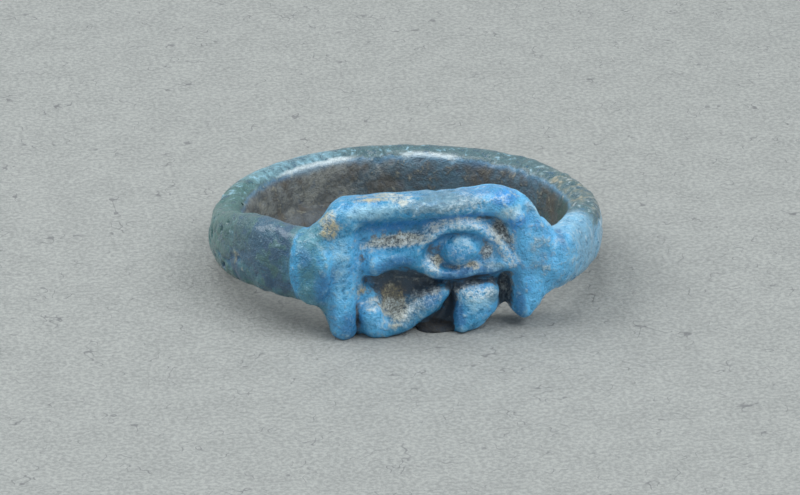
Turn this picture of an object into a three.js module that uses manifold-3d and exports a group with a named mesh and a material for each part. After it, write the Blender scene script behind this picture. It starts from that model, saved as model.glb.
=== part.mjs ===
// A finger ring of blue glazed faience, lying on its side as it rests on a table. The shank is a
// rounded band that rises into the ends of the bezel, a plaque that carries a sacred eye in high
// relief under a brow and between two posts. A dab of joining paste covers each shoulder. It was fired
// as one body, so it is one mesh.
//
// It is drawn upright on the finger axis, in millimetres: X along the bezel, Y from the bezel to the
// back of the shank, and Z along the finger, from the middle of the shank. The finished ring is then
// tilted to lie on the lower edge of the carving and on the back of the shank, with the origin under
// the middle of its bounding box.
import * as THREE from "three";
import { mergeVertices } from "three/addons/utils/BufferGeometryUtils.js";
import Module from "manifold-3d";

const wasm = await Module();
wasm.setup();

// Driving dimensions, in millimetres.
const ringWidth = 21; // across the outside of the shank
const shankThickness = 2;
const shankHeight = 2.9; // along the finger
const bezelLength = 11.6; // over the posts
const bezelTop = 4.4; // the top of the brow, above the middle of the shank
const bezelBottom = -2.95; // the lowest points of the carving
const bezelInset = 0.15; // how far the front of the carving lies behind the corners where the shank meets it
const bezelThickness = 2.3; // from the front of the carving to the finger hole
const carvingDepth = 1.25; // from the front of the carving down to its ground
const groundLift = { left: 0.1, right: 0.9 }; // the lower edge of the ground over the bottom, at either end
const groundDrop = 0.35; // its upper edge under the top of the brow
const shoulderRise = { left: 1.5, right: 0.1 }; // a slow rise of the shank's top towards the bezel
const shoulderLift = 0.35; // and of its underside
const dab = { above: 0.95, length: 2.3, height: 3.4, proud: 0.5 }; // joining paste, over the shank's middle
const restDepth = 0.12; // how deep the flat spots are worn where the ring rests

// Angles round the finger, in degrees. Each one starts at an end of the bezel.
const shoulderRun = { start: 8, end: 64 }; // where the slow rise is complete, and where it begins
const neckRun = { left: 11, right: 18 }; // the hollow curve from the shank up to the brow
const dabTurn = 7;

// Smoothness of the faceted surfaces.
const shankStations = 104;
const shankSides = 18;
const strokeSides = 12;
const strokeSteps = 4; // for each span of a stroke
const endSteps = 3; // in each rounded end
const lumpSides = 20;

const faienceColour = new THREE.Color(0.1, 0.29, 0.44);
const faienceRoughness = 0.42;

const outerRadius = ringWidth / 2;
const innerRadius = outerRadius - shankThickness;
const bezelHalfLength = bezelLength / 2;
const bezelHalfHeight = (bezelTop - bezelBottom) / 2;
const bezelMiddle = (bezelTop + bezelBottom) / 2;
const bezelReach = Math.sqrt(outerRadius ** 2 - bezelHalfLength ** 2) - bezelInset;
const bezelAngle = THREE.MathUtils.radToDeg(Math.asin(bezelHalfLength / outerRadius));
const groundReach = bezelReach - carvingDepth;
const holeReach = bezelReach - bezelThickness;

function ease(share) {
  const t = THREE.MathUtils.clamp(share, 0, 1);
  return t * t * (3 - 2 * t);
}

function solidFrom(geometry) {
  const made = (faces) => {
    const vertProperties = new Float32Array(geometry.getAttribute("position").array);
    const triVerts = new Uint32Array(faces);
    return new wasm.Manifold(new wasm.Mesh({ numProp: 3, vertProperties, triVerts }));
  };
  const solid = made(geometry.index.array);
  return solid.volume() > 0 ? solid : made(geometry.index.array.toReversed());
}

// Skins over a row of rings of points, each ring joined to the next. The row is closed by two tips,
// one point at each end, or by joining its last ring to its first.
function skin(rings, tips) {
  const sides = rings[0].length;
  const points = rings.flat();
  const faces = [];
  const joins = tips ? rings.length - 1 : rings.length;
  for (let j = 0; j < sides; j += 1) {
    const next = (j + 1) % sides;
    for (let i = 0; i < joins; i += 1) {
      const here = i * sides;
      const there = ((i + 1) % rings.length) * sides;
      faces.push(here + j, here + next, there + next, here + j, there + next, there + j);
    }
    if (tips) {
      const last = points.length - sides;
      faces.push(points.length, next, j, points.length + 1, last + j, last + next);
    }
  }
  const geometry = new THREE.BufferGeometry().setFromPoints(tips ? [...points, ...tips] : points);
  geometry.setIndex(faces);
  return solidFrom(geometry);
}

// The points of an oval, as shares of its two half widths. Its outer and inner halves each have a
// squareness, from 2 for an ellipse to higher values for squarer shapes.
function squaredOval(sides, outside, inside = outside) {
  return Array.from({ length: sides }, (_, i) => {
    const turn = (2 * Math.PI * (i + 0.5)) / sides;
    const squareness = Math.cos(turn) > 0 ? outside : inside;
    const soften = (value) => Math.sign(value) * Math.abs(value) ** (2 / squareness);
    return [soften(Math.cos(turn)), soften(Math.sin(turn))];
  });
}

// The band round the finger: the shank, its shoulders and the ground of the bezel. The angle is taken
// round the finger from the middle of the bezel, to the right.
function band() {
  const sectionAt = (degrees) => {
    const angle = THREE.MathUtils.degToRad(degrees);
    const side = degrees < 0 ? "left" : "right";
    const beyond = Math.abs(degrees) - bezelAngle;
    const inBezel = ease((2 - beyond) / 8);
    const outer = new THREE.Vector2(Math.sin(angle), -Math.cos(angle)).multiplyScalar(outerRadius);
    const inner = outer.clone().multiplyScalar(innerRadius / outerRadius);
    outer.y = Math.max(outer.y, -THREE.MathUtils.lerp(bezelReach - 0.2, groundReach, inBezel));
    inner.y = Math.max(inner.y, -holeReach);
    const shoulder = ease((shoulderRun.end - beyond) / (shoulderRun.end - shoulderRun.start));
    const neck = ease(1 - beyond / neckRun[side]) ** 1.2;
    const along = (outer.x / bezelHalfLength + 1) / 2;
    const low = bezelBottom + THREE.MathUtils.lerp(groundLift.left, groundLift.right, along);
    return {
      outer,
      inner,
      top: THREE.MathUtils.lerp(shankHeight / 2 + shoulder * shoulderRise[side], bezelTop - groundDrop, neck),
      bottom: THREE.MathUtils.lerp(-shankHeight / 2 + shoulder * shoulderLift, low, inBezel),
      squareness: THREE.MathUtils.lerp(2.6, 6, inBezel),
    };
  };
  const rings = [];
  for (let i = 0; i < shankStations; i += 1) {
    const { outer, inner, top, bottom, squareness } = sectionAt((360 * i) / shankStations - 180);
    const middle = outer.clone().add(inner).multiplyScalar(0.5);
    const across = outer.clone().sub(inner).multiplyScalar(0.5);
    rings.push(
      squaredOval(shankSides, squareness, 6).map(([out, up]) => {
        const place = middle.clone().addScaledVector(across, out);
        return new THREE.Vector3(place.x, place.y, (top + bottom + up * (top - bottom)) / 2);
      }),
    );
  }
  return skin(rings);
}

// A raised stroke on the bezel, with a rounded section and rounded ends. Its places [u, v, half] are
// shares of the bezel's half length, half height and half height, taken from the middle of the bezel.
// Its front is a share of the carving's depth, and its root lies at or behind the ground.
function stroke(places, { relief = 1, root = groundReach - 0.3, squareness = 2.5 } = {}) {
  const knots = places.map(([u, v, half]) => {
    const height = bezelMiddle + v * bezelHalfHeight;
    return new THREE.Vector3(u * bezelHalfLength, half * bezelHalfHeight, height);
  });
  const curve = new THREE.CatmullRomCurve3(knots, false, "centripetal");
  const section = squaredOval(strokeSides, squareness);
  const front = groundReach + relief * carvingDepth;
  const middle = -(front + root) / 2;
  const depth = (front - root) / 2;
  const frameAt = (share) => {
    const at = curve.getPoint(share);
    const along = curve.getTangent(share).setY(0).normalize();
    const side = new THREE.Vector3(along.z, 0, -along.x);
    return { half: at.y, at: at.clone().setY(middle), along, side };
  };
  const ringAt = (share, shrink, shift) => {
    const { half, at, along, side } = frameAt(share);
    const centre = at.addScaledVector(along, shift * half);
    return section.map(([across, out]) => {
      const point = centre.clone().addScaledVector(side, across * half * shrink);
      return point.setY(middle - out * depth * (0.4 + 0.6 * shrink));
    });
  };
  const roundEnd = (share, way) =>
    Array.from({ length: endSteps }, (_, i) => {
      const turn = (Math.PI / 2) * ((i + 1) / (endSteps + 1));
      return ringAt(share, Math.sin(turn), way * Math.cos(turn));
    });
  const tipAt = (share, way) => {
    const { half, at, along } = frameAt(share);
    return at.addScaledVector(along, way * half);
  };
  const steps = strokeSteps * (places.length - 1);
  const body = Array.from({ length: steps + 1 }, (_, i) => ringAt(i / steps, 1, 0));
  return skin([...roundEnd(0, -1), ...body, ...roundEnd(1, 1).reverse()], [tipAt(0, -1), tipAt(1, 1)]);
}

// Merges the vertices that faces share, which leaves their positions alone.
function weld(geometry) {
  geometry.deleteAttribute("normal");
  geometry.deleteAttribute("uv");
  return mergeVertices(geometry, 1e-4);
}

// A rounded lump with its middle at a point, given by its three half widths and turned about the
// finger's direction.
function lump(centre, radii, turned = 0) {
  const geometry = new THREE.SphereGeometry(1, lumpSides, lumpSides / 2);
  geometry.scale(radii.x, radii.y, radii.z);
  geometry.rotateZ(turned);
  geometry.translate(centre.x, centre.y, centre.z);
  return solidFrom(weld(geometry));
}

// A low mound on the ground of the bezel, in the same shares as a stroke.
function mound([u, v, halfLength, halfHeight], relief) {
  const centre = new THREE.Vector3(u * bezelHalfLength, -groundReach, bezelMiddle + v * bezelHalfHeight);
  const [length, height] = [halfLength * bezelHalfLength, halfHeight * bezelHalfHeight];
  return lump(centre, new THREE.Vector3(length, relief * carvingDepth, height));
}

function carving() {
  const deep = { root: holeReach + 0.35, squareness: 2.3 };
  const lid = { relief: 0.76 };
  return [
    // The brow, and the two posts that frame the eye. The right post is the wider and the shorter one.
    stroke(
      [[-0.83, 0.89, 0.136], [-0.45, 0.89, 0.13], [0.1, 0.9, 0.122], [0.48, 0.89, 0.19], [0.77, 0.78, 0.245]],
      deep,
    ),
    stroke([[-0.83, 0.78, 0.212], [-0.84, 0.13, 0.218], [-0.83, -0.47, 0.196], [-0.8, -0.82, 0.169]], deep),
    stroke([[0.84, 0.73, 0.245], [0.91, 0.13, 0.231], [0.91, -0.41, 0.259], [0.84, -0.7, 0.169]], deep),
    // The eye: the line to its outer corner, its two lids, the white and the pupil.
    stroke([[-0.52, 0.1, 0.163], [-0.34, 0.14, 0.122], [-0.16, 0.17, 0.136]], { relief: 0.8 }),
    stroke(
      [[-0.16, 0.27, 0.076], [0, 0.46, 0.087], [0.26, 0.59, 0.093], [0.5, 0.47, 0.093], [0.73, 0.07, 0.082]],
      lid,
    ),
    stroke([[-0.16, 0.07, 0.093], [0.09, -0.12, 0.098], [0.34, -0.1, 0.082], [0.74, -0.01, 0.076]], lid),
    mound([0.28, 0.21, 0.38, 0.3], 0.36),
    mound([0.26, 0.195, 0.181, 0.234], 0.72),
    // Under the eye: the slanting line that ends in a curl, and the drop that makes the foot.
    stroke([[0.09, -0.4, 0.109], [-0.07, -0.58, 0.15], [-0.26, -0.78, 0.15], [-0.43, -0.85, 0.15]]),
    stroke([[-0.535, -0.78, 0.218], [-0.55, -0.7, 0.196]]),
    stroke([[0.405, -0.605, 0.299], [0.335, -0.74, 0.239], [0.26, -0.885, 0.122]], { relief: 1.08 }),
  ];
}

// A dab of joining paste over the shoulder on either side.
function pasteDab(way) {
  const turn = way * THREE.MathUtils.degToRad(bezelAngle + dabTurn);
  const out = outerRadius + dab.proud - dab.length / 2;
  const centre = new THREE.Vector3(out * Math.sin(turn), -out * Math.cos(turn), dab.above);
  return lump(centre, new THREE.Vector3(dab.length / 2, dab.length / 2, dab.height / 2), turn);
}

// Turned to lie level, cut flat where it rests, and placed over the origin.
function laid(ring) {
  const restSpan = groundReach + outerRadius;
  const tilt = Math.atan2(-bezelBottom - shankHeight / 2, restSpan);
  const level = ring.rotate([-THREE.MathUtils.radToDeg(tilt), 0, 0]);
  const reach = 3 * ringWidth;
  const under = new THREE.BoxGeometry(reach, reach, reach);
  under.translate(0, 0, level.boundingBox().min[2] + restDepth - reach / 2);
  const resting = level.subtract(solidFrom(weld(under)));
  const { min, max } = resting.boundingBox();
  return resting.translate([-(min[0] + max[0]) / 2, -(min[1] + max[1]) / 2, -min[2]]);
}

function meshFrom(solid, name) {
  const { vertProperties, triVerts } = solid.getMesh();
  const geometry = new THREE.BufferGeometry();
  geometry.setAttribute("position", new THREE.BufferAttribute(vertProperties, 3));
  geometry.setIndex(new THREE.BufferAttribute(triVerts, 1));
  geometry.computeVertexNormals();
  const glaze = new THREE.MeshStandardMaterial({
    color: faienceColour,
    roughness: faienceRoughness,
    metalness: 0,
  });
  const mesh = new THREE.Mesh(geometry, glaze);
  mesh.name = name;
  return mesh;
}

const added = [...carving(), pasteDab(-1), pasteDab(1)];
const ring = added.reduce((whole, piece) => whole.add(piece), band());

const group = new THREE.Group();
group.add(meshFrom(laid(ring), "faience_ring"));

export default group;
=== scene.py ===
# A finger ring of blue glazed faience, lying on its side with its sacred eye turned to the camera.
# The ring is sculpted as a field of distances on a fine grid, drawn upright in millimetres:
# x along the bezel, y from the bezel to the back of the shank, z along the finger.
# The field is then skinned, tilted to lie level as the CAD solid does, and set in its place.
import itertools
import math

import bpy
import numpy as np
import openvdb
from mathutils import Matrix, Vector


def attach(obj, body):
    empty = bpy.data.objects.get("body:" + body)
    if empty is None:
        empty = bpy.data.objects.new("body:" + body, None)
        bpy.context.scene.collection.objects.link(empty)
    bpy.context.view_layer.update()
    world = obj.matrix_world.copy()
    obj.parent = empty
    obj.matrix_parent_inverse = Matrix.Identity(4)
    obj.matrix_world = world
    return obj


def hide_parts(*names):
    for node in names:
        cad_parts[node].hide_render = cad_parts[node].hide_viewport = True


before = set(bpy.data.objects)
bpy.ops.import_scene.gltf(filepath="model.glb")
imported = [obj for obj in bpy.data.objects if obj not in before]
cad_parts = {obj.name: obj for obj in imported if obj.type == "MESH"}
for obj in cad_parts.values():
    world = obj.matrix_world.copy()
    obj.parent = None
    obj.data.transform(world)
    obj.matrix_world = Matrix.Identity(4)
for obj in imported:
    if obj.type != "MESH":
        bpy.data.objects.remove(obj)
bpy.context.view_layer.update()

mm = 0.001


# camera, lights and table

studio = {
    "cameraAzimuth": -10,
    "cameraElevation": 24,
    "cameraDistance": 340,  # millimetres
    "sensorWidth": 36,
    "pixelsPerMm": 18.7,  # in a picture 800 pixels wide
    "pictureSize": (800, 495),
    "ringMiddle": (0, -0.9, 2.2),  # and the pixel where it shows
    "middlePixel": (406, 231),
    "tableSize": 1200,
    "lamps": {  # place and side in millimetres, and watts
        "leftSoftbox": ((-230, 70, 250), 220, 0.84),
        "rightSoftbox": ((170, -135, 265), 200, 0.66),
        "overheadLamp": ((-20, 25, 330), 130, 0.26),
    },
    "ambientColour": (0.93, 0.97, 1.0, 1),
    "ambient": 0.5,
}


def makeCamera():
    turn, rise = math.radians(studio["cameraAzimuth"]), math.radians(studio["cameraElevation"])
    back = Vector((math.sin(turn) * math.cos(rise), -math.cos(turn) * math.cos(rise), math.sin(rise)))
    right = Vector((math.cos(turn), math.sin(turn), 0))
    up = back.cross(right)
    width, height = studio["pictureSize"]
    scale, (px, py) = studio["pixelsPerMm"], studio["middlePixel"]
    aside, above = (px - width / 2) / scale, (height / 2 - py) / scale
    target = Vector(studio["ringMiddle"]) - right * aside - up * above
    lens = bpy.data.cameras.new("camera")
    lens.sensor_width = studio["sensorWidth"]
    lens.lens = scale * studio["cameraDistance"] * lens.sensor_width / width
    lens.clip_start, lens.clip_end = 0.001, 10
    camera = bpy.data.objects.new("camera", lens)
    bpy.context.scene.collection.objects.link(camera)
    camera.location = (target + back * studio["cameraDistance"]) * mm
    camera.rotation_euler = (-back).to_track_quat("-Z", "Y").to_euler()
    bpy.context.scene.camera = camera


def makeLamp(name, place, side, power):
    lamp = bpy.data.lights.new(name, "AREA")
    lamp.shape = "SQUARE"
    lamp.size = side * mm
    lamp.energy = power
    light = bpy.data.objects.new(name, lamp)
    light.location = Vector(place) * mm
    light.rotation_euler = (-Vector(place)).to_track_quat("-Z", "Y").to_euler()
    bpy.context.scene.collection.objects.link(light)


def makeAmbient():
    world = bpy.data.worlds.new("studio")
    world.use_nodes = True
    sky = world.node_tree.nodes["Background"]
    sky.inputs["Color"].default_value = studio["ambientColour"]
    sky.inputs["Strength"].default_value = studio["ambient"]
    bpy.context.scene.world = world


makeCamera()
for name, (place, side, power) in studio["lamps"].items():
    makeLamp(name, place, side, power)
makeAmbient()
bpy.context.scene.view_settings.view_transform = "Standard"
print("camera and lights are set")


# shader helpers

class Socket:
    # wraps a node's output, so that shader maths is written as an expression
    def __init__(self, finish, out):
        self.finish, self.out = finish, out

    def maths(self, operation, *values):
        return self.finish.node("ShaderNodeMath", {"operation": operation}, dict(enumerate(values)))

    def __add__(self, other):
        return self.maths("ADD", self, other)

    def __radd__(self, other):
        return self.maths("ADD", other, self)

    def __sub__(self, other):
        return self.maths("SUBTRACT", self, other)

    def __rsub__(self, other):
        return self.maths("SUBTRACT", other, self)

    def __mul__(self, other):
        return self.maths("MULTIPLY", self, other)

    def __rmul__(self, other):
        return self.maths("MULTIPLY", other, self)


class Finish:
    # one material and its nodes
    def __init__(self, name):
        self.material = bpy.data.materials.new(name)
        self.material.use_nodes = True
        self.tree = self.material.node_tree
        self.tree.nodes.clear()

    def node(self, kind, settings=None, sockets=None, out=0):
        made = self.tree.nodes.new(kind)
        for key, value in (settings or {}).items():
            setattr(made, key, value)
        for key, value in (sockets or {}).items():
            if isinstance(value, Socket):
                self.tree.links.new(value.out, made.inputs[key])
            else:
                made.inputs[key].default_value = value
        return Socket(self, made.outputs[out])

    def millimetres(self):
        place = self.node("ShaderNodeTexCoord", out="Object")
        return self.node("ShaderNodeVectorMath", {"operation": "SCALE"}, {0: place, "Scale": 1 / mm})

    def stretched(self, place, factors):
        return self.node("ShaderNodeVectorMath", {"operation": "MULTIPLY"}, {0: place, 1: factors})

    def attribute(self, name):
        return self.node("ShaderNodeAttribute", {"attribute_name": name}, out="Fac")

    def noise(self, place, size, detail=2, roughness=0.5):
        sockets = {"Vector": place, "Scale": 1 / size, "Detail": detail, "Roughness": roughness}
        return self.node("ShaderNodeTexNoise", {}, sockets)

    def rise(self, value, low, high):  # 0 below low, 1 above high
        sockets = {"Value": value, "From Min": low, "From Max": high}
        return self.node("ShaderNodeMapRange", {"interpolation_type": "SMOOTHSTEP"}, sockets)

    def mix(self, under, over, share):
        settings = {"data_type": "RGBA", "blend_type": "MIX"}
        return self.node("ShaderNodeMix", settings, {0: share, 6: under, 7: over}, 2)

    def bump(self, height, distance, under=None):
        sockets = {"Height": height, "Distance": distance * mm}
        if under:
            sockets["Normal"] = under
        return self.node("ShaderNodeBump", {}, sockets)

    def surface(self, **sockets):
        named = {key.replace("_", " "): value for key, value in sockets.items()}
        shader = self.node("ShaderNodeBsdfPrincipled", {}, named)
        end = self.tree.nodes.new("ShaderNodeOutputMaterial")
        self.tree.links.new(shader.out, end.inputs["Surface"])
        return self.material


def tone(*levels):  # a colour as a screen shows it: red, green and blue from 0 to 255
    shares = [level / 255 for level in levels]
    return (*[((v + 0.055) / 1.055) ** 2.4 if v > 0.04 else v / 12.92 for v in shares], 1)


# the table

table = {
    "colour": tone(157, 161, 159),
    "shade": tone(131, 135, 134),
    "speck": tone(108, 111, 113),
    "hair": tone(78, 80, 86),
    "cloudSize": 2.2,
    "fleckSize": 0.24,
    "fibreSize": 0.5,
    "hairBend": 1.3,  # the size of a hair's turns
    "hairPatch": 1.7,  # and of the spots that hold one
    "hairHalf": (0.011, 0.003),
    "hairStrength": 0.55,
    "toothSize": 0.3,  # the card's roughness
    "toothDepth": 0.12,
    "roughness": 0.85,
}


def makeTable():
    finish = Finish("grey_card")
    place = finish.millimetres()
    cloud = finish.rise(finish.noise(place, table["cloudSize"], 3, 0.6), 0.35, 0.65)
    fleck = finish.rise(finish.noise(place, table["fleckSize"], 3, 0.65), 0.36, 0.66)
    fibre = finish.rise(finish.noise(place, table["fibreSize"], 3, 0.7), 0.62, 0.76)
    colour = finish.mix(table["shade"], table["colour"], cloud * 0.2 + fleck * 0.8)
    colour = finish.mix(colour, table["speck"], fibre * 0.5)
    bend = finish.noise(place, table["hairBend"], 1) - 0.5
    line = finish.rise(bend.maths("ABSOLUTE", bend), *table["hairHalf"])
    hair = line * finish.rise(finish.noise(place, table["hairPatch"], 1), 0.54, 0.62)
    colour = finish.mix(colour, table["hair"], hair * table["hairStrength"])
    tooth = finish.bump(finish.noise(place, table["toothSize"], 4, 0.65), table["toothDepth"])
    material = finish.surface(Base_Color=colour, Roughness=table["roughness"], Normal=tooth)
    half = studio["tableSize"] * mm / 2
    corners = [(-half, -half, 0), (half, -half, 0), (half, half, 0), (-half, half, 0)]
    mesh = bpy.data.meshes.new("table")
    mesh.from_pydata(corners, [], [(0, 1, 2, 3)])
    mesh.materials.append(material)
    top = bpy.data.objects.new("table", mesh)
    bpy.context.scene.collection.objects.link(top)


makeTable()
print("the table is made")


# the ring's main sizes, in millimetres and degrees, as the CAD solid has them

ring = {
    "outerRadius": 10.5,
    "innerRadius": 8.5,
    "shankHeight": 2.9,
    "bezelHalfLength": 5.8,
    "bezelTop": 4.4,
    "bezelBottom": -2.95,
    "frontReach": 8.6,  # how far the front of the carving lies from the finger's axis
    "cornerReach": 8.4,  # the corners where the shank meets it
    "groundReach": 7.35,
    "faceReach": 7.75,  # the shallow ground round the eye
    "holeReach": 6.3,
    "edgeFillet": 0.25,
    "leastHalf": 0.3,  # half of the thinnest wall
    "bezelFade": 8,  # degrees over which the shank's section turns into the bezel's
    "backDrop": 0.12,  # the back of the shank is this much taller, below and above
    "backRise": 0.2,
    "backRun": (95, 135),
    "groundLift": (0.1, 0.8),  # left, right
    "groundRun": (0.9, 3.1),  # the stretch of x over which it changes
    "groundDrop": 0.2,
    "shoulderRise": (1.5, 0.45),  # left, right
    "shoulderLift": (0.45, 0.15),
    "shoulderRun": (26, 72),  # degrees from the bezel's end
    "neckRun": (8, 6),
    "neckCurve": 1.2,
    "centre": (0, -0.84, 2.18),  # where its middle lies on the table
}
ring["bezelAngle"] = math.degrees(math.asin(ring["bezelHalfLength"] / ring["outerRadius"]))
restDrop = -ring["bezelBottom"] - ring["shankHeight"] / 2
ring["tilt"] = math.atan2(restDrop, ring["groundReach"] + ring["outerRadius"])

grid = {
    "cell": 0.105,
    "low": (-11.0, -9.7, -3.5),
    "high": (11.0, 11.0, 5.0),
    "faceDepth": 5.2,  # the part of it, from the front, that holds the carving
    "reach": 1.5,  # distances are kept up to this
}


def ease(share):
    t = np.clip(share, 0, 1)
    return t * t * (3 - 2 * t)


def between(a, b, share):
    return a + (b - a) * share


def join(a, b, soft):  # two fields as one body, with a fillet
    share = np.clip(0.5 + 0.5 * (b - a) / soft, 0, 1)
    return between(b, a, share) - soft * share * (1 - share)


def cut(a, b, soft):  # b taken out of a
    return -join(-a, b, soft)


def noise(x, y, z, size, seed):  # smooth random values from -1 to 1
    count = 47
    lattice = np.random.default_rng(seed).uniform(-1, 1, (count,) * 3).astype(np.float32)
    steps = []
    for axis in (x, y, z):
        scaled = axis / size + count * 4
        low = np.floor(scaled).astype(int)
        share = ease(scaled - low).astype(np.float32)
        steps.append(((low % count, 1 - share), ((low + 1) % count, share)))
    total = 0
    for (i, a), (j, b), (k, c) in itertools.product(*steps):
        total = total + lattice[i, j, k] * a * b * c
    return total


def around(turn, start, end, soft):  # 1 between two angles round the finger
    return ease((turn - start) / soft + 0.5) * ease((end - turn) / soft + 0.5)


def crown(across, out, halfWidth, depth, squareness):  # a rounded section's field
    q, w = np.abs(across) / halfWidth, np.abs(out) / depth
    n = squareness
    level = np.maximum((q ** n + w ** n) ** (1 / n), 0.05)
    slope = np.sqrt((q ** (n - 1) / halfWidth) ** 2 + (w ** (n - 1) / depth) ** 2) * level ** (1 - n)
    return (level - 1) / np.maximum(slope, 0.3)


def gridAxes():
    spans = zip(grid["low"], grid["high"])
    return np.ix_(*[np.arange(low, high, grid["cell"], dtype=np.float32) for low, high in spans])


def bandField(x, y, z):  # the shank, its shoulders and the ground of the bezel
    degrees = np.degrees(np.arctan2(x, -y))

    def bySide(name):
        left, right = ring[name]
        return np.where(degrees > 0, right, left)

    beyond = np.abs(degrees) - ring["bezelAngle"]
    inBezel = ease((2 - beyond) / ring["bezelFade"])
    radius = np.hypot(x, y)
    front = between(ring["cornerReach"], ring["faceReach"], inBezel)
    outer = -join(ring["outerRadius"] - radius, y + front, ring["edgeFillet"])
    inner = np.minimum(ring["innerRadius"] - radius, y + ring["holeReach"])
    out = (outer - inner) / 2
    half = np.maximum(-(outer + inner) / 2, ring["leastHalf"])
    start, end = ring["shoulderRun"]
    shoulder = ease((end - beyond) / (end - start))
    neck = ease(1 - beyond / bySide("neckRun")) ** ring["neckCurve"]
    start, end = ring["backRun"]
    atBack = ease((np.abs(degrees) - start) / (end - start))
    rim = ring["shankHeight"] / 2 + shoulder * bySide("shoulderRise") + ring["backRise"] * atBack
    foot = -ring["shankHeight"] / 2 + shoulder * bySide("shoulderLift") - ring["backDrop"] * atBack
    start, end = ring["groundRun"]
    low = ring["bezelBottom"] + between(*ring["groundLift"], ease((x - start) / (end - start)))
    top = between(rim, ring["bezelTop"] - ring["groundDrop"], neck)
    bottom = between(foot, low, inBezel)
    middle = (top + bottom) / 2
    outside = between(2.6, 5, inBezel)  # squareness of the section's outer half
    inside = np.where(z > middle, between(2.3, 7, inBezel), 9)
    squareness = np.where(out > 0, outside, inside)
    return crown(z - middle, out, (top - bottom) / 2, half, squareness)


def smoothLine(places, steps=8):  # a curve through rows of numbers
    rows = np.array(places, float)
    rows = np.vstack([2 * rows[0] - rows[1], rows, 2 * rows[-1] - rows[-2]])
    line = []
    for a, b, c, d in zip(rows, rows[1:], rows[2:], rows[3:]):
        for t in np.arange(steps) / steps:
            bend = 2 * a - 5 * b + 4 * c - d + t * (3 * (b - c) + d - a)
            line.append(b + 0.5 * t * (c - a + t * bend))
    return np.array([*line, rows[-2]])


def strokeField(x, y, z, places, root, squareness):  # places: x, z, half width, reach of the front
    line = smoothLine(places)
    best = None
    for a, b in zip(line, line[1:]):
        span = b - a
        length = span[0] ** 2 + span[1] ** 2
        share = np.clip(((x - a[0]) * span[0] + (z - a[1]) * span[1]) / length, 0, 1)
        gap = np.hypot(x - a[0] - share * span[0], z - a[1] - share * span[1])
        half, front = a[2] + share * span[2], a[3] + share * span[3]
        if best is None:
            best = [gap, half, front]
        else:
            closer = gap / half < best[0] / best[1]
            best = [np.where(closer, new, old) for new, old in zip((gap, half, front), best)]
    gap, half, front = best
    return crown(gap, -y - (front + root) / 2, half, (front - root) / 2, squareness)


def lumpField(x, y, z, centre, radii, turn=0.0):  # turn is about the finger's axis, in degrees
    c, s = math.cos(math.radians(turn)), math.sin(math.radians(turn))
    dx, dy, dz = x - centre[0], y - centre[1], z - centre[2]
    u, v = dx * c + dy * s, dy * c - dx * s
    level = np.sqrt((u / radii[0]) ** 2 + (v / radii[1]) ** 2 + (dz / radii[2]) ** 2)
    slope = np.sqrt((u / radii[0] ** 2) ** 2 + (v / radii[1] ** 2) ** 2 + (dz / radii[2] ** 2) ** 2)
    return (level - 1) * np.maximum(level, 0.05) / np.maximum(slope, 0.05)


# hollows cut into the ground before the carving is laid on: the reach of the floor, then places of
# x, z and half width

hollows = {
    "vee": (7.2, ((-3.3, 0.1, 0.5), (-1.7, -0.2, 0.75), (-0.2, -0.15, 0.45), (0.5, -0.2, 0.3))),
    "veeFoot": (7.25, ((-1.9, -0.5, 0.9), (-2.15, -1.75, 0.35))),
    "crescent": (7.7, ((3.25, 2.9, 0.25), (3.9, 2.3, 0.45), (4.3, 1.3, 0.3))),
    "underLid": (7.6, ((0.6, -0.4, 0.35), (2.2, -0.4, 0.35), (3.6, -0.25, 0.4))),
    "besideFoot": (7.0, ((3.95, -0.4, 0.45), (3.95, -2.4, 0.45))),
    "behindFoot": (7.15, ((0.95, -0.7, 0.3), (0.8, -1.8, 0.4), (0.2, -2.6, 0.5))),
    "besidePost": (7.0, ((-4.1, -1.1, 0.2), (-4.1, -3.1, 0.26))),
    "underBrow": (
        7.8,
        ((-4.0, 3.1, 0.3), (-1.6, 3.05, 0.35), (0.0, 3.3, 0.25), (2.0, 3.6, 0.2), (3.3, 3.1, 0.25)),
    ),
    "besideBar": (7.85, ((-3.9, 2.4, 0.3), (-3.85, 0.6, 0.25))),
}
hollowFinish = {"fillet": 0.3, "squareness": 2.5}

# the carving, each stroke as places of x, z, half width and reach of its front

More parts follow.
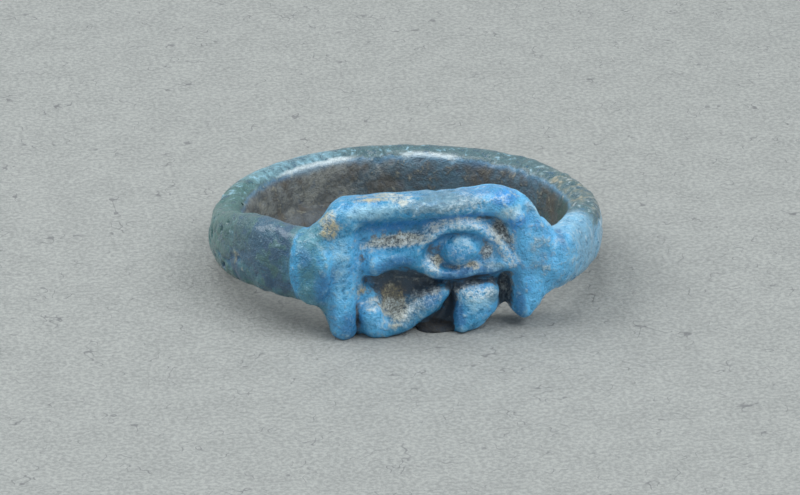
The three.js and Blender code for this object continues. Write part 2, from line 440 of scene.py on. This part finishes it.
carving = {
    "brow": {
        "root": 6.4,
        "fillet": 0.75,
        "squareness": 2.5,
        "strokes": (
            ((-4.4, 3.98, 0.58, 8.55), (-2.61, 4.04, 0.6, 8.55), (0.4, 3.93, 0.52, 8.55),
             (2.2, 4.0, 0.6, 8.6), (3.3, 4.02, 0.75, 8.6), (3.85, 3.8, 0.74, 8.6)),
        ),
    },
    "leftPost": {
        "root": 6.4,
        "fillet": 0.75,
        "squareness": 2.4,
        "strokes": (
            ((-4.75, 3.3, 0.76, 8.55), (-4.87, 1.2, 0.84, 8.6), (-4.88, -1.0, 0.86, 8.6),
             (-4.74, -2.25, 0.74, 8.6)),
        ),
    },
    "rightPost": {
        "root": 6.4,
        "fillet": 0.5,
        "squareness": 2.5,
        "strokes": (
            ((4.45, 3.15, 0.58, 8.6), (5.02, 1.2, 0.88, 8.6), (5.22, -0.78, 0.95, 8.6),
             (4.87, -1.85, 0.62, 8.6)),
        ),
    },
    "eye": {
        "root": 7.05,
        "fillet": 0.42,
        "squareness": 2.2,
        "strokes": (
            # the bar at its outer corner
            ((-3.0, 1.12, 0.66, 8.55), (-1.97, 1.27, 0.52, 8.5), (-0.93, 1.35, 0.52, 8.45)),
            # upper lid
            ((-0.93, 1.75, 0.3, 8.35), (0.0, 2.46, 0.34, 8.4), (1.51, 2.93, 0.37, 8.45),
             (2.9, 2.45, 0.38, 8.45), (4.15, 0.98, 0.36, 8.35)),
            # lower lid
            ((-0.93, 1.0, 0.36, 8.4), (0.52, 0.34, 0.36, 8.45), (1.97, 0.36, 0.34, 8.4),
             (4.2, 0.66, 0.36, 8.35)),
        ),
    },
    "under": {
        "root": 6.9,
        "fillet": 0.2,
        "squareness": 2.4,
        "strokes": (
            # the slanting line
            ((0.52, -0.75, 0.45, 8.25), (-0.41, -1.36, 0.62, 8.4), (-1.51, -2.08, 0.66, 8.55),
             (-2.49, -2.38, 0.6, 8.6)),
            # its curl
            ((-3.05, -2.2, 0.78, 8.6), (-3.25, -1.7, 0.74, 8.65)),
            # the foot
            ((2.35, -1.45, 1.1, 8.6), (1.94, -1.99, 0.88, 8.7), (1.51, -2.53, 0.45, 8.7)),
            ((1.75, -1.0, 0.6, 8.4), (2.95, -0.95, 0.62, 8.5)),
        ),
    },
}

swellings = (  # centre, radii, turn, fillet
    ((-4.9, 6.75, -1.55), (3.2, 1.1, 0.7), 36, 0.3),  # earth inside the shank, at the back and left
    ((-5.8, -7.6, 1.3), (1.0, 0.8, 2.05), 0, 0.6),  # the left post's slope towards the shoulder
    ((0.5, -7.62, -2.84), (1.4, 0.62, 0.22), 0, 0.15),  # a dark pad under the slanting line, as painted contact shadow
    ((5.7, -7.4, 1.94), (0.85, 0.7, 0.95), 0, 0.5),  # the right post's slope towards the shoulder
    ((1.62, -7.45, 1.50), (2.3, 0.7, 1.2), 0, 0.3),  # the white of the eye
    ((1.46, -7.75, 1.55), (1.08, 0.93, 0.9), 0, 0.1),  # the pupil
)

paste = {  # a dab on each shoulder; pairs are left and right
    "above": (0.95, 0.6),
    "height": (3.5, 2.6),
    "turn": (5.0, 9.5),  # degrees past the bezel's end
    "length": 2.5,
    "thickness": 1.1,
    "sunk": 0.1,
    "fillet": 0.35,
}

# unevenness of the surface: depth, size and seed of its noise

wear = {
    "sag": (0.06, 2.3, 11),
    "dents": (0.065, 0.8, 12),
    "grain": (0.034, 0.37, 13),
    "pits": (1, 0.5, 14),
    "carved": (0.045, 1.25, 16),  # on the bezel's face alone
    "ridges": (0.035, 1, 15),  # across the upper edge of the shank
    "ridgeSize": (0.42, 1.6),  # round the shank and across it
    "mmPerDegree": 0.165,
}


def pasteField(x, y, z, side):  # side: 0 left, 1 right
    way = (-1, 1)[side]
    turn = way * (ring["bezelAngle"] + paste["turn"][side])
    out = ring["outerRadius"] - paste["sunk"]
    angle = math.radians(turn)
    centre = (out * math.sin(angle), -out * math.cos(angle), paste["above"][side])
    radii = (paste["length"] / 2, paste["thickness"] / 2, paste["height"][side] / 2)
    return lumpField(x, y, z, centre, radii, turn)


def carveFace(face, x, y, z):
    fillet, squareness = hollowFinish["fillet"], hollowFinish["squareness"]
    for floor, places in hollows.values():
        # the section is centred on the carving's front, so it goes as deep as the floor
        deep = [(*place, 2 * ring["frontReach"] - floor) for place in places]
        face = cut(face, strokeField(x, y, z, deep, floor, squareness), fillet)
    for group in carving.values():
        for places in group["strokes"]:
            stroke = strokeField(x, y, z, places, group["root"], group["squareness"])
            face = join(face, stroke, group["fillet"])
    for side in (0, 1):
        face = join(face, pasteField(x, y, z, side), paste["fillet"])
    return face


def wornField(field, x, y, z):
    def uneven(name):
        depth, size, seed = wear[name]
        return depth * noise(x, y, z, size, seed)

    turn = np.degrees(np.arctan2(x, -y))
    away = ease((np.abs(turn) - 55) / 15)  # from the bezel
    calm = 1 - 0.55 * ease((np.abs(turn) - 118) / 30)  # smoother glaze at the back
    depth, size, seed = wear["ridges"]
    arc, across = turn * wear["mmPerDegree"] / wear["ridgeSize"][0], (z + x * 0) / wear["ridgeSize"][1]
    ridges = noise(arc, across, y * 0 + x * 0, size, seed) * around(turn, 55, 140, 20)
    pitted = 0.08 + 0.12 * away * calm + 0.25 * around(turn, -120, -68, 20)
    pits = np.maximum(uneven("pits") - 0.3, 0) * pitted
    field = field + uneven("sag") + calm * uneven("dents")
    field = field + ease((-y - 6) / 0.8) * uneven("carved")
    field = field + calm * uneven("grain")
    return field + depth * away * ease((z + 0.2) / 0.8) * ridges + pits


def sculptRing():
    x, y, z = gridAxes()
    field = bandField(x, y, z)
    front = slice(0, int(grid["faceDepth"] / grid["cell"]))
    field[:, front] = carveFace(field[:, front], x, y[:, front], z)
    for centre, radii, turn, fillet in swellings:
        field = join(field, lumpField(x, y, z, centre, radii, turn), fillet)
    field = wornField(field, x, y, z)
    return np.clip(field, -grid["reach"], grid["reach"]).astype(np.float32)


def blurred(field, reach):  # the mean over a box of cells
    for axis in range(3):
        room = [(reach + 1, reach) if a == axis else (0, 0) for a in range(3)]
        total = np.cumsum(np.pad(field, room, mode="edge"), axis=axis, dtype=np.float64)
        count, width = field.shape[axis], 2 * reach + 1
        upper = np.take(total, range(width, width + count), axis)
        field = (upper - np.take(total, range(count), axis)) / width
    return field


def sample(field, points):  # values of a grid at points, given in cells
    low = np.clip(np.floor(points).astype(int), 0, np.array(field.shape) - 2)
    share = points - low
    total = 0
    for corner in itertools.product((0, 1), repeat=3):
        weight = np.prod(np.where(corner, share, 1 - share), axis=1)
        total = total + field[tuple((low + corner).T)] * weight
    return total


def skinned(field):
    volume = openvdb.FloatGrid(background=grid["reach"])
    volume.copyFromArray(field)
    points, quads = volume.convertToQuads(isovalue=0.0)
    return points.astype(np.float64), quads.astype(np.int64)


def laid(points):  # from the upright drawing to the table
    c, s = math.cos(ring["tilt"]), math.sin(ring["tilt"])
    x, y, z = points.T
    placed = np.stack([x, y * c + z * s, z * c - y * s], 1) + ring["centre"]
    placed[:, 2] = np.maximum(placed[:, 2], 0)  # worn flat where it rests
    return placed


def makeRing():
    field = sculptRing()
    print("the field is sculpted", field.shape)
    cells, quads = skinned(field)
    points = cells * grid["cell"] + grid["low"]
    mesh = bpy.data.meshes.new("faience_ring_body")
    mesh.from_pydata((laid(points) * mm).tolist(), [], quads.tolist())
    mesh.update()
    mesh.polygons.foreach_set("use_smooth", np.ones(len(quads), bool))
    body = bpy.data.objects.new("faience_ring_body", mesh)
    bpy.context.scene.collection.objects.link(body)
    print("the skin has", len(quads), "quads")
    return body, points, cells, field


body, points, cells, field = makeRing()


# each stain on the bezel's face: x, z, half length, half height, turn in degrees, strength

stains = {
    "soilAndShade": (  # dark brown earth in the recesses, and painted shade under the carving and between its parts
        (-1.4, -0.2, 2.3, 0.95, -4, 1.2),  # the vee under the bar
        (-2.0, -0.7, 1.2, 0.9, 0, 1.0),  # its lower part
        (3.8, 2.3, 0.62, 1.15, 22, 0.95),  # the crescent
        (2.1, -0.4, 2.3, 0.5, 3, 0.85),  # under the lower lid
        (1.8, 0.05, 1.8, 0.3, 0, 1.0),  # the lid's underside, painted shade
        (3.92, -1.1, 0.5, 1.8, 0, 1.0),  # between the foot and the right post, painted shade on the post's shaded side
        (0.98, -1.5, 0.38, 1.4, 0, 1.0),  # between the foot and the slanting line
        (1.35, -1.9, 0.3, 0.8, 0, 0.5),  # the foot's left side
        (0.3, -2.4, 0.9, 0.7, 0, 1.3),  # under the slanting line, painted contact shade
        (-4.15, -2.0, 0.38, 1.3, 0, 0.9),  # between the left post and the curl, painted shade
        (-3.75, 1.0, 0.22, 1.6, 0, 0.45),  # between the left post and the bar
        (-1.9, 2.55, 2.0, 0.35, 4, 0.45),  # above the bar
        (2.6, 3.32, 1.4, 0.2, -8, 0.8),  # between the upper lid and the brow
        (1.5, 2.5, 1.0, 0.16, 0, 0.5),  # under the upper lid
        (0.05, 1.4, 0.6, 0.8, 0, 0.7),  # left of the pupil
        (2.85, 1.4, 0.42, 0.8, 0, 0.9),  # right of it
        (1.45, 0.72, 1.5, 0.34, 0, 0.7),  # below it
    ),
    "tan": (  # pale sandy crust
        (-1.9, 2.25, 1.9, 0.36, 5, 1.5),  # above the bar
        (-2.05, -1.25, 0.8, 0.85, 0, 1.4),  # low in the vee
        (-2.15, -2.0, 0.45, 0.5, 0, 0.7),
        (-3.8, -0.3, 0.4, 0.5, 0, 0.9),  # the vee's left end
        (-5.45, 3.4, 0.6, 0.9, 0, 1.1),  # the left post's upper corner
        (-1.7, 4.55, 0.5, 0.22, 0, 0.85),  # the top of the brow
        (-2.6, 4.66, 2.4, 0.14, 0, 0.9),
        (0.1, 2.8, 0.7, 0.25, 25, 0.8),  # over the upper lid's left end
        (3.35, 2.25, 0.28, 0.9, 35, 0.9),  # the crescent
        (3.7, 2.6, 0.4, 0.8, 25, 0.5),
        (0.2, 1.1, 0.55, 0.4, -25, 0.8),  # left of the pupil
        (2.1, 0.72, 0.9, 0.28, 0, 0.7),  # below it
    ),
    "grain": (  # white specks where the glaze has gone
        (0.3, 3.0, 0.9, 0.3, 18, 1.2),  # along the upper lid, from the left
        (1.5, 3.15, 0.9, 0.3, -2, 1.6),
        (2.5, 2.95, 0.7, 0.3, -25, 1.2),
        (3.2, 2.35, 0.65, 0.3, -58, 1.5),
        (3.7, 1.5, 0.7, 0.3, -62, 1.5),
        (4.15, 0.95, 0.5, 0.4, 0, 1.2),  # where the lids meet
        (3.85, 2.3, 0.6, 1.1, 22, 0.75),  # the crescent
        (-0.1, 1.0, 0.6, 0.5, -30, 0.9),  # round the pupil
        (3.0, 1.3, 0.5, 0.8, 0, 0.8),
        (1.5, 0.8, 1.8, 0.35, 0, 0.5),
        (1.5, 1.9, 0.9, 0.6, 0, 0.4),
        (-1.6, 2.3, 2.2, 0.4, 7, 1.2),  # above the bar
        (-1.4, -0.1, 2.2, 0.7, 0, 0.2),  # the vee
        (-2.1, -1.5, 0.6, 0.5, 0, 0.9),
        (-0.2, -0.8, 0.8, 0.5, 30, 0.55),  # the slanting line
        (-1.2, -1.4, 1.4, 0.5, 32, 0.75),
        (-3.1, -1.1, 0.8, 0.35, 0, 0.8),  # over its curl
        (2.3, -0.7, 1.1, 0.4, 0, 1.0),  # the top of the foot
        (4.0, -0.8, 0.5, 1.2, 0, 0.4),  # right of it
        (-1.6, 4.6, 0.9, 0.3, 0, 0.55),  # the brow
        (0.6, 4.0, 2.4, 0.5, 2, 0.3),
        (2.2, 4.2, 2.2, 0.6, 5, 0.5),
        # a painted highlight on the brow's right end
        (4.1, 3.6, 0.45, 0.3, 0, 0.8),
        (-4.0, 1.0, 0.25, 2.2, 0, 0.4),  # the left post's inner edge
        (5.2, 3.0, 1.2, 1.6, 0, 0.3),  # the right post
        (5.9, 1.5, 1.2, 1.6, 0, 0.25),
    ),
    "deep": (  # a purer, deeper blue
        (3.8, 4.35, 0.9, 0.5, 0, 1.1),  # the brow's right end
        (4.4, 3.1, 0.6, 0.7, 0, 1.0),
        (5.6, 2.7, 0.5, 0.6, 0, 0.6),
        (1.5, 3.5, 2.2, 0.25, 3, 0.9),  # under the brow
        (-1.6, 3.1, 2.6, 0.45, 4, 0.8),
        (-2.9, 1.0, 0.6, 0.5, 0, 0.6),  # the bar's end
        (1.5, 1.3, 0.9, 0.6, 0, 0.5),  # the pupil
        (-4.9, 1.0, 0.5, 1.2, 0, 0.4),  # the posts
        (5.0, -0.2, 0.6, 1.6, 0, 0.5),
    ),
    "dull": (  # greyer glaze
        (0.5, 4.3, 2.5, 0.5, 3, 1.3),  # the brow
        (-2.2, 4.3, 1.2, 0.4, 0, 0.6),
        (5.2, 3.7, 0.6, 0.6, 0, 0.7),
        (2.0, 0.2, 2.2, 0.4, 0, 1.1),  # the lower lid
        (3.2, 0.6, 0.9, 0.35, 0, 1.0),
        (-1.2, -1.5, 1.7, 0.7, 32, 1.0),  # the slanting line
        (3.1, -0.9, 0.6, 0.6, 0, 1.0),  # the foot
        (1.9, -1.5, 0.8, 0.8, 0, 0.5),
        (5.5, 1.2, 1.0, 1.8, 0, 0.6),  # the right post and the paste beside it
        (7.1, 2.2, 0.5, 1.2, 0, 0.9),
    ),
    "shade": (  # painted shade: a darker blue where shade falls on the carving, and on the brow's lit top
        (1.8, 0.3, 2.0, 0.4, 0, 1.6),  # the lower lid
        (-1.9, 1.25, 1.3, 0.4, 2, 1.0),  # the bar
        (-2.8, 0.85, 0.8, 0.35, 0, 0.9),
        (1.3, -1.9, 0.35, 0.9, 0, 1.2),  # the foot's left side
        (-0.6, -1.0, 1.2, 0.25, 32, 0.5),  # the slanting line
        (-0.1, -0.95, 0.8, 0.5, 30, 0.9),
        (2.8, 4.75, 1.8, 0.3, 3, 0.8),  # the top of the brow, painted shade on its lit top
        (-5.4, -1.4, 0.4, 1.3, 0, 0.6),  # the left post
        (-5.3, 0.9, 0.35, 0.8, 0, 0.8),
        (-4.4, -2.1, 0.8, 1.1, 0, 1.0),
        (4.6, -1.6, 0.35, 1.3, 0, 1.0),  # the right post
        (4.55, -0.3, 0.3, 0.8, 0, 0.7),
        (-5.9, 0.2, 0.6, 1.2, 0, 1.0),  # the paste on the left
        (-6.9, 1.9, 0.6, 0.7, 0, 0.8),
        (7.2, 2.1, 0.7, 1.2, 0, 0.9),  # the paste on the right
    ),
    "paleAndHighlight": (  # worn, milky glaze on the high places, with painted highlights on the brow, the left post and the foot
        (-3.4, 4.1, 1.9, 0.5, 0, 1.2),  # the brow, a painted highlight along it
        (-4.6, 3.9, 0.5, 0.6, 0, 0.4),
        # a painted highlight on the brow's right end
        (4.1, 3.6, 0.75, 0.4, 0, 1.6),
        (-4.0, 3.35, 0.5, 0.45, 0, 0.8),  # the left post, with a painted highlight at its corner with the brow
        (-4.9, 1.4, 0.6, 2.6, 0, 0.85),
        # a painted highlight along the left post's inner edge
        (-4.2, 0.6, 0.22, 1.6, 0, 0.5),
        (1.5, 2.95, 1.3, 0.3, 0, 0.9),  # the upper lid
        (1.5, 2.15, 1.2, 0.3, 0, 0.7),  # over the pupil, painted light in the hollow above it
        (-2.5, 1.75, 0.7, 0.2, 0, 0.3),  # the bar
        (-1.0, -1.3, 1.4, 0.4, 32, 0.3),  # the slanting line and its curl
        (-3.2, -1.9, 0.7, 0.6, 0, 0.6),
        (-3.2, -1.05, 0.7, 0.25, 20, 1.0),
        (2.3, -1.2, 0.9, 0.9, 0, 0.9),  # the foot, a painted highlight on its top
        (-6.9, 2.2, 0.6, 0.6, 0, 0.5),  # the paste
        (-7.3, 1.2, 0.3, 1.2, 0, 0.7),
        (6.6, 1.7, 0.9, 1.4, 0, 0.3),
    ),
}

# stretches of the shank: start, end and softness in degrees, from the bezel's middle to the right

stretches = {
    "teal": (-110, -44, 4),
    "green": (-140, -72, 34),
    "slate": (-76, -50, 22),
    "bright": (-170, -122, 24),
    "sky": (43, 116, 34),
    "azureLeft": (-37, -16, 6),
    "azureRight": (14, 60, 20),
    "olive": (40, 110, 30),  # this and the next three are on the inner wall
    "blueBack": (90, 181, 60),
    "blueBackEnd": (-181, -170, 25),
    "blueBezel": (-30, 30, 30),
    "crustRight": (68, 118, 24),
    "crustLeft": (-112, -72, 16),
    "crustShoulder": (-78, -52, 12),
    # the rim's pale inner edge, worn glaze with a painted highlight
    "edgeLeft": (-172, -140, 12),
    "edgeRight": (150, 172, 8),
}


def paint(name, values):
    layer = body.data.attributes.new(name, "FLOAT", "POINT")
    layer.data.foreach_set("value", np.asarray(values, np.float32))


def stainMask(x, z, patches):
    mask = np.zeros(len(x))
    for cx, cz, halfX, halfZ, turn, strength in patches:
        c, s = math.cos(math.radians(turn)), math.sin(math.radians(turn))
        u, v = (x - cx) * c + (z - cz) * s, (z - cz) * c - (x - cx) * s
        spot = strength * ease((1.5 - np.hypot(u / halfX, v / halfZ)) / 1.3)
        mask = np.maximum(mask, spot)
    return mask


def paintFace(x, y, z, turn):
    normals = np.zeros(len(x) * 3, np.float32)
    body.data.vertices.foreach_get("normal", normals)
    forward = ease((0.35 - normals[1::3]) / 0.3)
    onFace = ease((-y - 6.4) / 0.6) * ease((7.4 - np.abs(x)) / 0.5) * forward
    masks = {name: stainMask(x, z, patches) * onFace for name, patches in stains.items()}
    sunk = ease((8.5 + y) / 0.5)
    contactShadow = ease((-2.4 - z) / 0.12) * ease((x + 1.2) / 0.2) * ease((1.15 - x) / 0.15)
    contactShadow = contactShadow * ease((-y - 6.9) / 0.2)  # a painted contact shadow under the slanting line
    # the soil-and-shade mask also holds the painted contact shadow
    masks["soilAndShade"] = np.maximum(masks["soilAndShade"] * sunk, contactShadow * 1.4)
    masks["contactShadow"] = contactShadow
    masks["paste"] = ease((turn + 47) / 5) * ease((-28.5 - turn) / 9) * onFace
    for name, mask in masks.items():
        paint(name, mask)


def paintShank(x, y, z, turn):
    def on(name):
        return around(turn, *stretches[name])

    radius = np.hypot(x, y)
    inner = ease((8.95 - radius) / 0.35) * ease((y + 6.95) / 0.4)
    upper = ease((z - 0.75) / 0.5) * ease((np.abs(turn) - 52) / 20)
    shoulderCrust = 0.8 * on("crustShoulder") * ease(1.2 - np.abs(z - 0.5) / 0.8)
    outside = {
        "teal": on("teal"),
        "green": on("green"),
        # darker slate on the shank's upper left, partly painted shade on its lit top
        "slate": on("slate") * ease((z - 0.1) / 0.8),
        "bright": on("bright") * ease((z - 0.9) / 0.4),
        "sky": on("sky"),
        "azure": on("azureRight") + 0.8 * on("azureLeft") * ease((3.2 - z) / 0.6),
        "rim": np.maximum(ease((np.abs(turn) - 96) / 34), upper),
        "crust": (
            on("crustRight") * ease((z - 0.4) / 0.6) + shoulderCrust
            + 0.9 * on("crustLeft") * ease((-z - 0.1) / 0.8)
        ),
    }
    inside = {
        "inside": 1,
        "olive": on("olive"),
        "insideBlue": on("blueBack") + on("blueBackEnd") + on("blueBezel"),
        # darker towards the bottom of the inner wall
        "lowerInside": ease((-0.6 - z) / 0.6),
    }
    for name, mask in outside.items():
        paint(name, mask * (1 - inner))
    for name, mask in inside.items():
        paint(name, mask * inner)
    # a pale line along the rim's inner edge at the back: worn glaze with a painted highlight
    line = np.exp(-((radius - 8.85) / 0.13) ** 2) * ease((z - 0.6) / 0.4)
    paint("edge", line * (on("edgeLeft") + on("edgeRight")))


def paintRelief():  # how far the skin stands out from its neighbourhood, near and wide
    paint("fine", -sample(blurred(field, 2), cells) / 0.06)
    # the wide measure is used to lay painted shade in the broad hollows
    paint("broadHollowShade", -sample(blurred(field, 6), cells) / 0.5)


def paintRing():
    x, y, z = points.T
    turn = np.degrees(np.arctan2(x, -y))
    paintFace(x, y, z, turn)
    paintShank(x, y, z, turn)
    paintRelief()
    print("the ring is painted")


paintRing()

glaze = {
    "blue": tone(56, 150, 198),
    "azure": tone(96, 188, 240),
    "deepBlue": tone(36, 138, 214),
    # a darker blue for painted shade, also used in the random mottling
    "shadeBlue": tone(46, 118, 172),
    "dull": tone(96, 136, 156),
    "milky": tone(150, 202, 226),
    "teal": tone(66, 112, 124),
    "slate": tone(52, 86, 112),
    "green": tone(68, 108, 104),
    "sky": tone(120, 176, 208),
    "rim": tone(68, 100, 106),
    "pasteTeal": tone(70, 132, 150),
    "insideBrown": tone(126, 130, 126),
    "insideBlue": tone(76, 106, 122),
    "olive": tone(62, 86, 78),
    "ink": tone(20, 66, 102),
    "soilAndShade": tone(64, 74, 84),
    "umber": tone(92, 82, 64),
    # the dark of the painted contact shadow
    "shadowBlack": tone(26, 26, 30),
    "tan": tone(182, 172, 136),
    "white": tone(210, 226, 232),
    "coarseSize": 1.6,  # the sizes of its mottling
    "blotchSize": 1.1,
    "mediumSize": 0.5,
    "streakSize": 0.24,
    "smallSize": 0.19,
    "dustSize": 0.085,
    "pitDepth": 0.035,
    "dentDepth": 0.2,
    "roughness": 0.26,
    "coat": 0.35,
    "coatRoughness": 0.16,
}


def makeGlaze():
    finish = Finish("blue_faience")
    at = finish.attribute
    rise = finish.rise
    place = finish.millimetres()
    coarse = finish.noise(place, glaze["coarseSize"], 3, 0.6)
    medium = finish.noise(place, glaze["mediumSize"], 4, 0.65)
    blotch = finish.noise(place, glaze["blotchSize"])
    small = finish.noise(place, glaze["smallSize"], 3, 0.6)
    dust = finish.noise(place, glaze["dustSize"], 1)
    streaks = finish.noise(finish.stretched(place, (1, 1, 0.16)), glaze["streakSize"])
    ragged = (medium - 0.5) * 3.0 + (small - 0.5) * 0.9
    speck = (small - 0.5) * 1.7 + (dust - 0.5) * 1.0

    def blend(colour, name, share):
        return finish.mix(colour, glaze[name], share)

    def tint(colour, name, mask, low, high, strength=1.0):
        return blend(colour, name, rise(mask, low, high) * strength)

    # the blues of the bezel and the teals of the shank
    colour = tint(glaze["blue"], "azure", at("azure") + ragged * 0.4, 0.2, 0.9)
    colour = tint(colour, "deepBlue", at("deep") + ragged * 0.6, 0.3, 0.9, 0.85)
    colour = tint(colour, "deepBlue", coarse + ragged * 0.15, 0.48, 0.7, 0.4)
    colour = tint(colour, "dull", at("dull") + ragged * 0.6, 0.2, 1.0, 0.95)
    colour = tint(colour, "shadeBlue", medium + (coarse - 0.5) * 0.4, 0.5, 0.66, 0.4)
    colour = tint(colour, "pasteTeal", at("paste") + ragged * 0.7, 0.2, 1.1)
    colour = tint(colour, "sky", at("sky") + ragged * 0.5, 0.2, 0.9)
    colour = tint(colour, "teal", at("teal") + ragged * 0.3, 0.3, 0.8)
    colour = blend(colour, "slate", at("teal") * rise(coarse + ragged * 0.06, 0.46, 0.56) * 0.9)
    # dark slate glaze on the shank's upper left, partly painted shade on its lit top
    colour = tint(colour, "slate", at("slate") + ragged * 0.4, 0.1, 1.0, 0.8)
    colour = tint(colour, "green", at("teal") * (blotch + ragged * 0.08), 0.52, 0.62, 0.7)
    colour = tint(colour, "rim", at("rim") + ragged * 0.4, 0.3, 0.9)
    colour = tint(colour, "green", at("green") + ragged * 0.6, 0.3, 0.9, 0.8)
    colour = tint(colour, "milky", at("bright") + ragged * 0.6, 0.3, 1.5, 0.5)
    # painted shade: darker blue in the broad hollows and on the shade stains
    colour = tint(colour, "shadeBlue", at("broadHollowShade") + ragged * 0.15, -0.05, 0.5, 0.6)
    colour = tint(colour, "shadeBlue", at("shade") + ragged * 0.5, 0.2, 1.0, 0.9)
    # worn milky glaze, with painted highlights from the same stains
    colour = tint(colour, "milky", at("paleAndHighlight") + ragged * 0.8, 0.2, 1.3, 0.85)
    worn = at("fine") * -1 + ragged * 0.8 - at("teal") * 0.5
    colour = tint(colour, "milky", worn, 0.35, 1.3, 0.55)
    # uneven thickness of the glaze: darker where it pools, lighter where it is thin
    colour = tint(colour, "ink", ragged * -1, -0.05, 0.7, 0.45)
    colour = tint(colour, "ink", speck * -1, 0.05, 1.0, 0.28)
    colour = tint(colour, "milky", ragged + speck * 0.6 - at("teal") * 0.35, 0.05, 1.0, 0.6)
    # the inner wall
    blueInside = rise(at("insideBlue") + ragged * 0.5, 0.3, 0.8)
    inside = finish.mix(glaze["insideBrown"], glaze["insideBlue"], blueInside)
    inside = tint(inside, "olive", at("olive") + ragged * 0.3, 0.2, 0.8)
    inside = tint(inside, "soilAndShade", medium * 0.7 + coarse * 0.5, 0.5, 0.68, 0.8)
    # darker towards the bottom of the inner wall
    inside = tint(inside, "soilAndShade", at("lowerInside"), 0, 1, 0.6)
    inside = tint(inside, "umber", coarse - ragged * 0.1, 0.5, 0.65, 0.5)
    inside = tint(inside, "ink", ragged * -1, 0.0, 0.8, 0.5)
    inside = tint(inside, "tan", ragged + speck * 0.3, 0.1, 1.0, 0.45)
    colour = finish.mix(colour, inside, at("inside"))
    # streaks on the right, then dirt and painted shade, crust and bare white grains over everything,
    # and last the painted contact shadow and the rim's pale edge with its painted highlight
    colour = blend(colour, "white", rise(streaks, 0.56, 0.72) * at("sky") * 0.5)
    colour = tint(colour, "soilAndShade", at("soilAndShade") + ragged * 0.6, 0.3, 0.8, 0.92)
    dirty = at("soilAndShade") * 0.6 + at("tan") * 0.6 + ragged * 0.45
    colour = tint(colour, "umber", dirty, 0.6, 1.0, 0.55)
    colour = tint(colour, "umber", at("crust") + ragged, 0.9, 1.6, 0.7)
    sandy = rise(at("tan") + at("crust") * 0.4 + ragged * 0.6, 0.3, 1.1)
    colour = blend(colour, "tan", sandy * rise(speck, -0.7, 0.25) * 0.9)
    gritty = (at("tan") + at("soilAndShade")) * 0.45 - speck - ragged * 0.3
    colour = tint(colour, "soilAndShade", gritty, 0.35, 1.0, 0.6)
    bare = rise(at("grain") + ragged * 0.5, 0.1, 1.0)
    colour = blend(colour, "white", bare * rise(speck, -0.4, 0.5))
    colour = tint(colour, "white", speck + ragged * 0.3 - at("inside") * 0.3, 0.4, 1.2, 0.3)
    # painted contact shadow under the slanting line
    colour = tint(colour, "shadowBlack", at("contactShadow") + ragged * 0.3, 0, 1, 0.62)
    # the rim's pale inner edge: worn glaze with a painted highlight
    colour = tint(colour, "white", at("edge") + ragged * 0.3, 0.2, 1.1, 0.75)
    dents = finish.bump(medium, glaze["dentDepth"], finish.bump(speck, glaze["pitDepth"]))
    rough = rise(ragged, -0.4, 0.6) * 0.25 + glaze["roughness"] + at("soilAndShade") * 0.4 + at("inside") * 0.3
    return finish.surface(
        Base_Color=colour,
        Roughness=rough,
        Coat_Weight=glaze["coat"] - at("contactShadow") * glaze["coat"] - at("inside") * 0.1,
        Coat_Roughness=glaze["coatRoughness"],
        Normal=dents,
    )


body.data.materials.append(makeGlaze())
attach(body, "root")
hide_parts("faience_ring")
